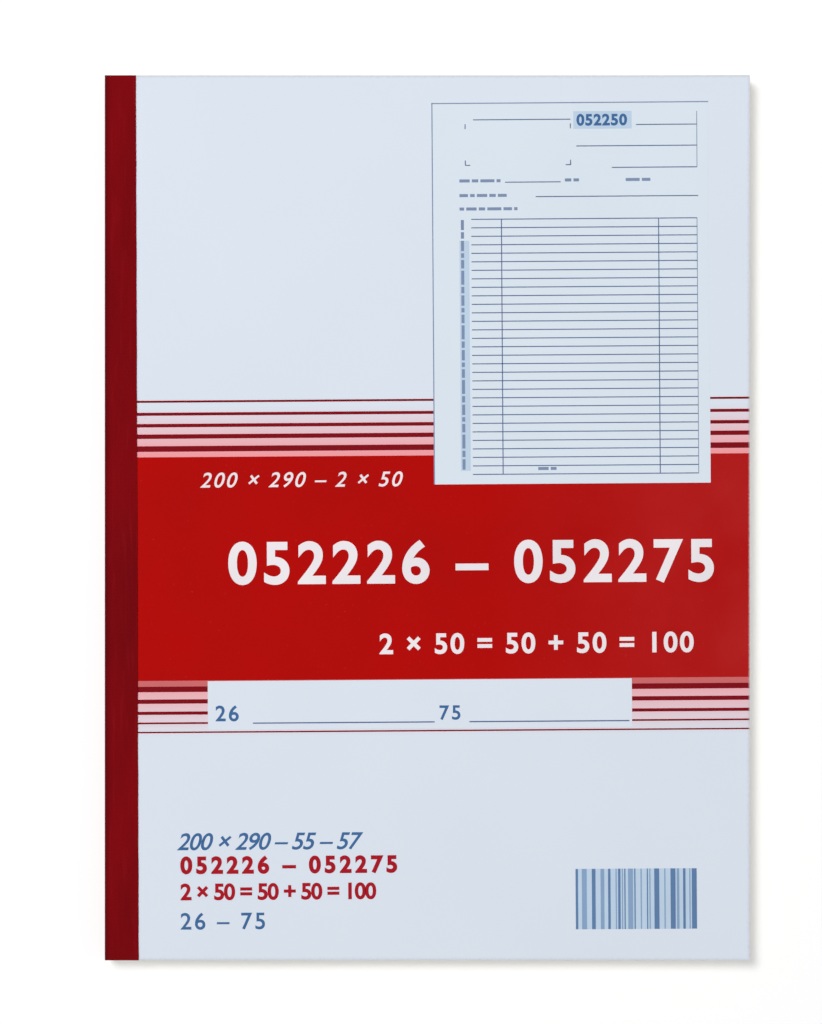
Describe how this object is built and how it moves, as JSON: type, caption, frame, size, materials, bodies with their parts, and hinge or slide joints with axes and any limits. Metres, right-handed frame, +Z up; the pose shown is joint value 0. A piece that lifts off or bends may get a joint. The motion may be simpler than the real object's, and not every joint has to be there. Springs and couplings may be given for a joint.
{
  "type": "duplicate order book",
  "caption": "Side-stitched duplicate order book: printed card cover, cloth tape round the spine, stiff back board, white originals over yellow copies, loose writing card.",
  "frame": {"origin": "under the middle of the shut book, on the surface it lies on", "axes": "+X from the spine to the fore edge, +Y from foot to head, +Z up out of the front cover"},
  "size_m": [0.2114, 0.29, 0.01],
  "materials": {
    "cover_card": "coated, printed, satin",
    "back_board": "grey board, matt",
    "writing_card": "manila, matt",
    "spine_tape": "woven bookbinding cloth",
    "original_paper": "white carbonless, matt",
    "duplicate_paper": "yellow carbonless, matt",
    "leaf_block": "cut edges of white and yellow leaves",
    "bound_margins": "cut edges of white and yellow leaves",
    "staple_wire": "galvanised wire"
  },
  "bodies": {
    "binding": {"back_board": "back_board", "bound_margins": "bound_margins", "front_cover_strip": "cover_card", "spine_tape": "spine_tape", "staple_1": "staple_wire", "staple_2": "staple_wire", "staple_3": "staple_wire", "sets_21_to_30": "leaf_block", "sets_31_to_40": "leaf_block", "sets_41_to_50": "leaf_block"},
    "front_cover": {"front_cover": "cover_card"},
    "original_01": {"original_01": "original_paper"},
    "duplicate_01": {"duplicate_01": "duplicate_paper"},
    "original_02": {"original_02": "original_paper"},
    "duplicate_02": {"duplicate_02": "duplicate_paper"},
    "original_03": {"original_03": "original_paper"},
    "duplicate_03": {"duplicate_03": "duplicate_paper"},
    "original_04": {"original_04": "original_paper"},
    "duplicate_04": {"duplicate_04": "duplicate_paper"},
    "original_05": {"original_05": "original_paper"},
    "duplicate_05": {"duplicate_05": "duplicate_paper"},
    "original_06": {"original_06": "original_paper"},
    "duplicate_06": {"duplicate_06": "duplicate_paper"},
    "original_07": {"original_07": "original_paper"},
    "duplicate_07": {"duplicate_07": "duplicate_paper"},
    "original_08": {"original_08": "original_paper"},
    "duplicate_08": {"duplicate_08": "duplicate_paper"},
    "original_09": {"original_09": "original_paper"},
    "duplicate_09": {"duplicate_09": "duplicate_paper"},
    "original_10": {"original_10": "original_paper"},
    "duplicate_10": {"duplicate_10": "duplicate_paper"},
    "original_11": {"original_11": "original_paper"},
    "duplicate_11": {"duplicate_11": "duplicate_paper"},
    "original_12": {"original_12": "original_paper"},
    "duplicate_12": {"duplicate_12": "duplicate_paper"},
    "original_13": {"original_13": "original_paper"},
    "duplicate_13": {"duplicate_13": "duplicate_paper"},
    "original_14": {"original_14": "original_paper"},
    "duplicate_14": {"duplicate_14": "duplicate_paper"},
    "original_15": {"original_15": "original_paper"},
    "duplicate_15": {"duplicate_15": "duplicate_paper"},
    "original_16": {"original_16": "original_paper"},
    "duplicate_16": {"duplicate_16": "duplicate_paper"},
    "original_17": {"original_17": "original_paper"},
    "duplicate_17": {"duplicate_17": "duplicate_paper"},
    "original_18": {"original_18": "original_paper"},
    "duplicate_18": {"duplicate_18": "duplicate_paper"},
    "original_19": {"original_19": "original_paper"},
    "duplicate_19": {"duplicate_19": "duplicate_paper"},
    "original_20": {"original_20": "original_paper"},
    "duplicate_20": {"duplicate_20": "duplicate_paper"},
    "writing_card": {"writing_card": "writing_card"}
  },
  "joints": [
    {"name": "front_cover_hinge", "type": "hinge", "parent": "binding", "child": "front_cover", "pos_m": [-0.0942, 0, 0.01024], "axis": [0, -1, 0], "range_deg": [0, 183]},
    {"name": "original_01_turn", "type": "hinge", "parent": "binding", "child": "original_01", "pos_m": [-0.0942, 0, 0.01024], "axis": [0, -1, 0], "range_deg": [0, 179.8]},
    {"name": "duplicate_01_turn", "type": "hinge", "parent": "binding", "child": "duplicate_01", "pos_m": [-0.0942, 0, 0.01024], "axis": [0, -1, 0], "range_deg": [0, 179.72]},
    {"name": "original_02_turn", "type": "hinge", "parent": "binding", "child": "original_02", "pos_m": [-0.0942, 0, 0.01024], "axis": [0, -1, 0], "range_deg": [0, 179.65]},
    {"name": "duplicate_02_turn", "type": "hinge", "parent": "binding", "child": "duplicate_02", "pos_m": [-0.0942, 0, 0.01024], "axis": [0, -1, 0], "range_deg": [0, 179.58]},
    {"name": "original_03_turn", "type": "hinge", "parent": "binding", "child": "original_03", "pos_m": [-0.0942, 0, 0.01024], "axis": [0, -1, 0], "range_deg": [0, 179.51]},
    {"name": "duplicate_03_turn", "type": "hinge", "parent": "binding", "child": "duplicate_03", "pos_m": [-0.0942, 0, 0.01024], "axis": [0, -1, 0], "range_deg": [0, 179.43]},
    {"name": "original_04_turn", "type": "hinge", "parent": "binding", "child": "original_04", "pos_m": [-0.0942, 0, 0.01024], "axis": [0, -1, 0], "range_deg": [0, 179.36]},
    {"name": "duplicate_04_turn", "type": "hinge", "parent": "binding", "child": "duplicate_04", "pos_m": [-0.0942, 0, 0.01024], "axis": [0, -1, 0], "range_deg": [0, 179.29]},
    {"name": "original_05_turn", "type": "hinge", "parent": "binding", "child": "original_05", "pos_m": [-0.0942, 0, 0.01024], "axis": [0, -1, 0], "range_deg": [0, 179.21]},
    {"name": "duplicate_05_turn", "type": "hinge", "parent": "binding", "child": "duplicate_05", "pos_m": [-0.0942, 0, 0.01024], "axis": [0, -1, 0], "range_deg": [0, 179.14]},
    {"name": "original_06_turn", "type": "hinge", "parent": "binding", "child": "original_06", "pos_m": [-0.0942, 0, 0.01024], "axis": [0, -1, 0], "range_deg": [0, 179.07]},
    {"name": "duplicate_06_turn", "type": "hinge", "parent": "binding", "child": "duplicate_06", "pos_m": [-0.0942, 0, 0.01024], "axis": [0, -1, 0], "range_deg": [0, 178.99]},
    {"name": "original_07_turn", "type": "hinge", "parent": "binding", "child": "original_07", "pos_m": [-0.0942, 0, 0.01024], "axis": [0, -1, 0], "range_deg": [0, 178.92]},
    {"name": "duplicate_07_turn", "type": "hinge", "parent": "binding", "child": "duplicate_07", "pos_m": [-0.0942, 0, 0.01024], "axis": [0, -1, 0], "range_deg": [0, 178.85]},
    {"name": "original_08_turn", "type": "hinge", "parent": "binding", "child": "original_08", "pos_m": [-0.0942, 0, 0.01024], "axis": [0, -1, 0], "range_deg": [0, 178.77]},
    {"name": "duplicate_08_turn", "type": "hinge", "parent": "binding", "child": "duplicate_08", "pos_m": [-0.0942, 0, 0.01024], "axis": [0, -1, 0], "range_deg": [0, 178.7]},
    {"name": "original_09_turn", "type": "hinge", "parent": "binding", "child": "original_09", "pos_m": [-0.0942, 0, 0.01024], "axis": [0, -1, 0], "range_deg": [0, 178.63]},
    {"name": "duplicate_09_turn", "type": "hinge", "parent": "binding", "child": "duplicate_09", "pos_m": [-0.0942, 0, 0.01024], "axis": [0, -1, 0], "range_deg": [0, 178.55]},
    {"name": "original_10_turn", "type": "hinge", "parent": "binding", "child": "original_10", "pos_m": [-0.0942, 0, 0.01024], "axis": [0, -1, 0], "range_deg": [0, 178.48]},
    {"name": "duplicate_10_turn", "type": "hinge", "parent": "binding", "child": "duplicate_10", "pos_m": [-0.0942, 0, 0.01024], "axis": [0, -1, 0], "range_deg": [0, 178.41]},
    {"name": "original_11_turn", "type": "hinge", "parent": "binding", "child": "original_11", "pos_m": [-0.0942, 0, 0.01024], "axis": [0, -1, 0], "range_deg": [0, 178.34]},
    {"name": "duplicate_11_turn", "type": "hinge", "parent": "binding", "child": "duplicate_11", "pos_m": [-0.0942, 0, 0.01024], "axis": [0, -1, 0], "range_deg": [0, 178.26]},
    {"name": "original_12_turn", "type": "hinge", "parent": "binding", "child": "original_12", "pos_m": [-0.0942, 0, 0.01024], "axis": [0, -1, 0], "range_deg": [0, 178.19]},
    {"name": "duplicate_12_turn", "type": "hinge", "parent": "binding", "child": "duplicate_12", "pos_m": [-0.0942, 0, 0.01024], "axis": [0, -1, 0], "range_deg": [0, 178.12]},
    {"name": "original_13_turn", "type": "hinge", "parent": "binding", "child": "original_13", "pos_m": [-0.0942, 0, 0.01024], "axis": [0, -1, 0], "range_deg": [0, 178.04]},
    {"name": "duplicate_13_turn", "type": "hinge", "parent": "binding", "child": "duplicate_13", "pos_m": [-0.0942, 0, 0.01024], "axis": [0, -1, 0], "range_deg": [0, 177.97]},
    {"name": "original_14_turn", "type": "hinge", "parent": "binding", "child": "original_14", "pos_m": [-0.0942, 0, 0.01024], "axis": [0, -1, 0], "range_deg": [0, 177.9]},
    {"name": "duplicate_14_turn", "type": "hinge", "parent": "binding", "child": "duplicate_14", "pos_m": [-0.0942, 0, 0.01024], "axis": [0, -1, 0], "range_deg": [0, 177.82]},
    {"name": "original_15_turn", "type": "hinge", "parent": "binding", "child": "original_15", "pos_m": [-0.0942, 0, 0.01024], "axis": [0, -1, 0], "range_deg": [0, 177.75]},
    {"name": "duplicate_15_turn", "type": "hinge", "parent": "binding", "child": "duplicate_15", "pos_m": [-0.0942, 0, 0.01024], "axis": [0, -1, 0], "range_deg": [0, 177.68]},
    {"name": "original_16_turn", "type": "hinge", "parent": "binding", "child": "original_16", "pos_m": [-0.0942, 0, 0.01024], "axis": [0, -1, 0], "range_deg": [0, 177.6]},
    {"name": "duplicate_16_turn", "type": "hinge", "parent": "binding", "child": "duplicate_16", "pos_m": [-0.0942, 0, 0.01024], "axis": [0, -1, 0], "range_deg": [0, 177.53]},
    {"name": "original_17_turn", "type": "hinge", "parent": "binding", "child": "original_17", "pos_m": [-0.0942, 0, 0.01024], "axis": [0, -1, 0], "range_deg": [0, 177.46]},
    {"name": "duplicate_17_turn", "type": "hinge", "parent": "binding", "child": "duplicate_17", "pos_m": [-0.0942, 0, 0.01024], "axis": [0, -1, 0], "range_deg": [0, 177.38]},
    {"name": "original_18_turn", "type": "hinge", "parent": "binding", "child": "original_18", "pos_m": [-0.0942, 0, 0.01024], "axis": [0, -1, 0], "range_deg": [0, 177.31]},
    {"name": "duplicate_18_turn", "type": "hinge", "parent": "binding", "child": "duplicate_18", "pos_m": [-0.0942, 0, 0.01024], "axis": [0, -1, 0], "range_deg": [0, 177.24]},
    {"name": "original_19_turn", "type": "hinge", "parent": "binding", "child": "original_19", "pos_m": [-0.0942, 0, 0.01024], "axis": [0, -1, 0], "range_deg": [0, 177.16]},
    {"name": "duplicate_19_turn", "type": "hinge", "parent": "binding", "child": "duplicate_19", "pos_m": [-0.0942, 0, 0.01024], "axis": [0, -1, 0], "range_deg": [0, 177.09]},
    {"name": "original_20_turn", "type": "hinge", "parent": "binding", "child": "original_20", "pos_m": [-0.0942, 0, 0.01024], "axis": [0, -1, 0], "range_deg": [0, 177.02]},
    {"name": "duplicate_20_turn", "type": "hinge", "parent": "binding", "child": "duplicate_20", "pos_m": [-0.0942, 0, 0.01024], "axis": [0, -1, 0], "range_deg": [0, 176.94]},
    {"name": "writing_card_slide", "type": "slide", "parent": "binding", "child": "writing_card", "axis": [1, 0, 0], "range_m": [0, 0.197]}
  ],
  "couplings": [
    {"joint": "original_01_turn", "follows": "front_cover_hinge", "ratio": 0.9825},
    {"joint": "duplicate_01_turn", "follows": "front_cover_hinge", "ratio": 0.9821},
    {"joint": "original_02_turn", "follows": "front_cover_hinge", "ratio": 0.9817},
    {"joint": "duplicate_02_turn", "follows": "front_cover_hinge", "ratio": 0.9813},
    {"joint": "original_03_turn", "follows": "front_cover_hinge", "ratio": 0.9809},
    {"joint": "duplicate_03_turn", "follows": "front_cover_hinge", "ratio": 0.9805},
    {"joint": "original_04_turn", "follows": "front_cover_hinge", "ratio": 0.9801},
    {"joint": "duplicate_04_turn", "follows": "front_cover_hinge", "ratio": 0.9797},
    {"joint": "original_05_turn", "follows": "front_cover_hinge", "ratio": 0.9793},
    {"joint": "duplicate_05_turn", "follows": "front_cover_hinge", "ratio": 0.9789},
    {"joint": "original_06_turn", "follows": "front_cover_hinge", "ratio": 0.9785},
    {"joint": "duplicate_06_turn", "follows": "front_cover_hinge", "ratio": 0.9781},
    {"joint": "original_07_turn", "follows": "front_cover_hinge", "ratio": 0.9777},
    {"joint": "duplicate_07_turn", "follows": "front_cover_hinge", "ratio": 0.9773},
    {"joint": "original_08_turn", "follows": "front_cover_hinge", "ratio": 0.9769},
    {"joint": "duplicate_08_turn", "follows": "front_cover_hinge", "ratio": 0.9765},
    {"joint": "original_09_turn", "follows": "front_cover_hinge", "ratio": 0.9761},
    {"joint": "duplicate_09_turn", "follows": "front_cover_hinge", "ratio": 0.9757},
    {"joint": "original_10_turn", "follows": "front_cover_hinge", "ratio": 0.9753},
    {"joint": "duplicate_10_turn", "follows": "front_cover_hinge", "ratio": 0.9749},
    {"joint": "original_11_turn", "follows": "front_cover_hinge", "ratio": 0.9745},
    {"joint": "duplicate_11_turn", "follows": "front_cover_hinge", "ratio": 0.9741},
    {"joint": "original_12_turn", "follows": "front_cover_hinge", "ratio": 0.9737},
    {"joint": "duplicate_12_turn", "follows": "front_cover_hinge", "ratio": 0.9733},
    {"joint": "original_13_turn", "follows": "front_cover_hinge", "ratio": 0.9729},
    {"joint": "duplicate_13_turn", "follows": "front_cover_hinge", "ratio": 0.9725},
    {"joint": "original_14_turn", "follows": "front_cover_hinge", "ratio": 0.9721},
    {"joint": "duplicate_14_turn", "follows": "front_cover_hinge", "ratio": 0.9717},
    {"joint": "original_15_turn", "follows": "front_cover_hinge", "ratio": 0.9713},
    {"joint": "duplicate_15_turn", "follows": "front_cover_hinge", "ratio": 0.9709},
    {"joint": "original_16_turn", "follows": "front_cover_hinge", "ratio": 0.9705},
    {"joint": "duplicate_16_turn", "follows": "front_cover_hinge", "ratio": 0.9701},
    {"joint": "original_17_turn", "follows": "front_cover_hinge", "ratio": 0.9697},
    {"joint": "duplicate_17_turn", "follows": "front_cover_hinge", "ratio": 0.9693},
    {"joint": "original_18_turn", "follows": "front_cover_hinge", "ratio": 0.9689},
    {"joint": "duplicate_18_turn", "follows": "front_cover_hinge", "ratio": 0.9685},
    {"joint": "original_19_turn", "follows": "front_cover_hinge", "ratio": 0.9681},
    {"joint": "duplicate_19_turn", "follows": "front_cover_hinge", "ratio": 0.9677},
    {"joint": "original_20_turn", "follows": "front_cover_hinge", "ratio": 0.9673},
    {"joint": "duplicate_20_turn", "follows": "front_cover_hinge", "ratio": 0.9669}
  ]
}
